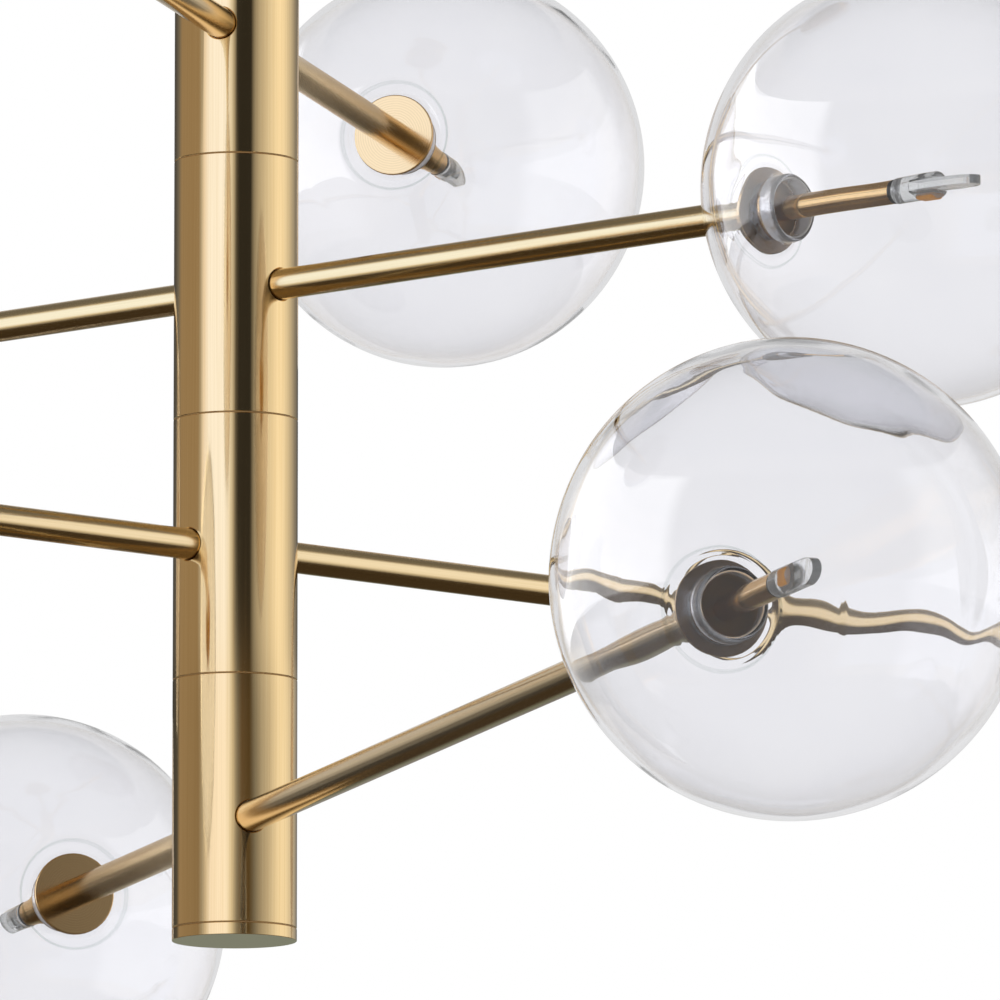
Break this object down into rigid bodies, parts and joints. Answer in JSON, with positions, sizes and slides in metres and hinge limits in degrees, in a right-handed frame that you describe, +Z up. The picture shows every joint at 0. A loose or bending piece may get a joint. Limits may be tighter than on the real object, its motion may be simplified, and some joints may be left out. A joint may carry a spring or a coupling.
{
  "type": "globe chandelier",
  "caption": "Hanging chandelier: a slim column of stacked sleeves that turn, with straight horizontal arms, each ending in a clear blown-glass globe round a small capsule lamp.",
  "frame": {"origin": "on the ceiling plane, on the column's vertical axis, midway between the ceiling screws", "axes": "+Z up towards the ceiling, +X to the right and +Y away from the viewer in the picture's view"},
  "size_m": [1.0779, 1.1879, 0.7424],
  "materials": {
    "satin_brass": "satin, lacquered",
    "zinc_plated_steel": "zinc plated",
    "cast_aluminium": "as cast",
    "blown_glass": "clear, blown",
    "lamp_glass": "clear",
    "clear_silicone": "translucent",
    "black_holder": "moulded",
    "driver_case": "moulded",
    "nylon": "matt, amber"
  },
  "bodies": {
    "hanger": {"ceiling_bracket": "zinc_plated_steel", "canopy": "satin_brass", "canopy_screws": "satin_brass", "led_driver": "driver_case", "centre_pipe": "zinc_plated_steel", "lock_nuts": "zinc_plated_steel", "down_rod": "satin_brass", "canopy_collar": "satin_brass", "top_cap": "satin_brass", "bottom_cap": "satin_brass", "friction_washers": "nylon"},
    "tier_1": {"tier_1_sleeve": "satin_brass", "tier_1_hub": "cast_aluminium", "tier_1_long_arm": "satin_brass", "tier_1_short_arm": "satin_brass", "tier_1_long_globe": "blown_glass", "tier_1_short_globe": "blown_glass", "tier_1_long_lamp": "lamp_glass", "tier_1_short_lamp": "lamp_glass", "tier_1_cover_discs": "satin_brass", "tier_1_neck_gaskets": "clear_silicone", "tier_1_stems": "satin_brass", "tier_1_lamp_holders": "black_holder"},
    "tier_2": {"tier_2_sleeve": "satin_brass", "tier_2_hub": "cast_aluminium", "tier_2_long_arm": "satin_brass", "tier_2_short_arm": "satin_brass", "tier_2_long_globe": "blown_glass", "tier_2_short_globe": "blown_glass", "tier_2_long_lamp": "lamp_glass", "tier_2_short_lamp": "lamp_glass", "tier_2_cover_discs": "satin_brass", "tier_2_neck_gaskets": "clear_silicone", "tier_2_stems": "satin_brass", "tier_2_lamp_holders": "black_holder"},
    "tier_3": {"tier_3_sleeve": "satin_brass", "tier_3_hub": "cast_aluminium", "tier_3_long_arm": "satin_brass", "tier_3_short_arm": "satin_brass", "tier_3_long_globe": "blown_glass", "tier_3_short_globe": "blown_glass", "tier_3_long_lamp": "lamp_glass", "tier_3_short_lamp": "lamp_glass", "tier_3_cover_discs": "satin_brass", "tier_3_neck_gaskets": "clear_silicone", "tier_3_stems": "satin_brass", "tier_3_lamp_holders": "black_holder"},
    "tier_4": {"tier_4_sleeve": "satin_brass", "tier_4_hub": "cast_aluminium", "tier_4_long_arm": "satin_brass", "tier_4_short_arm": "satin_brass", "tier_4_long_globe": "blown_glass", "tier_4_short_globe": "blown_glass", "tier_4_long_lamp": "lamp_glass", "tier_4_short_lamp": "lamp_glass", "tier_4_cover_discs": "satin_brass", "tier_4_neck_gaskets": "clear_silicone", "tier_4_stems": "satin_brass", "tier_4_lamp_holders": "black_holder"}
  },
  "joints": [
    {"name": "tier_1_swivel", "type": "hinge", "parent": "hanger", "child": "tier_1", "pos_m": [0, 0, -0.385], "axis": [0, 0, 1], "range_deg": [-35, 35]},
    {"name": "tier_2_swivel", "type": "hinge", "parent": "hanger", "child": "tier_2", "pos_m": [0, 0, -0.4776], "axis": [0, 0, 1], "range_deg": [-35, 35]},
    {"name": "tier_3_swivel", "type": "hinge", "parent": "hanger", "child": "tier_3", "pos_m": [0, 0, -0.5702], "axis": [0, 0, 1], "range_deg": [-35, 35]},
    {"name": "tier_4_swivel", "type": "hinge", "parent": "hanger", "child": "tier_4", "pos_m": [0, 0, -0.6674], "axis": [0, 0, 1], "range_deg": [-35, 35]}
  ]
}
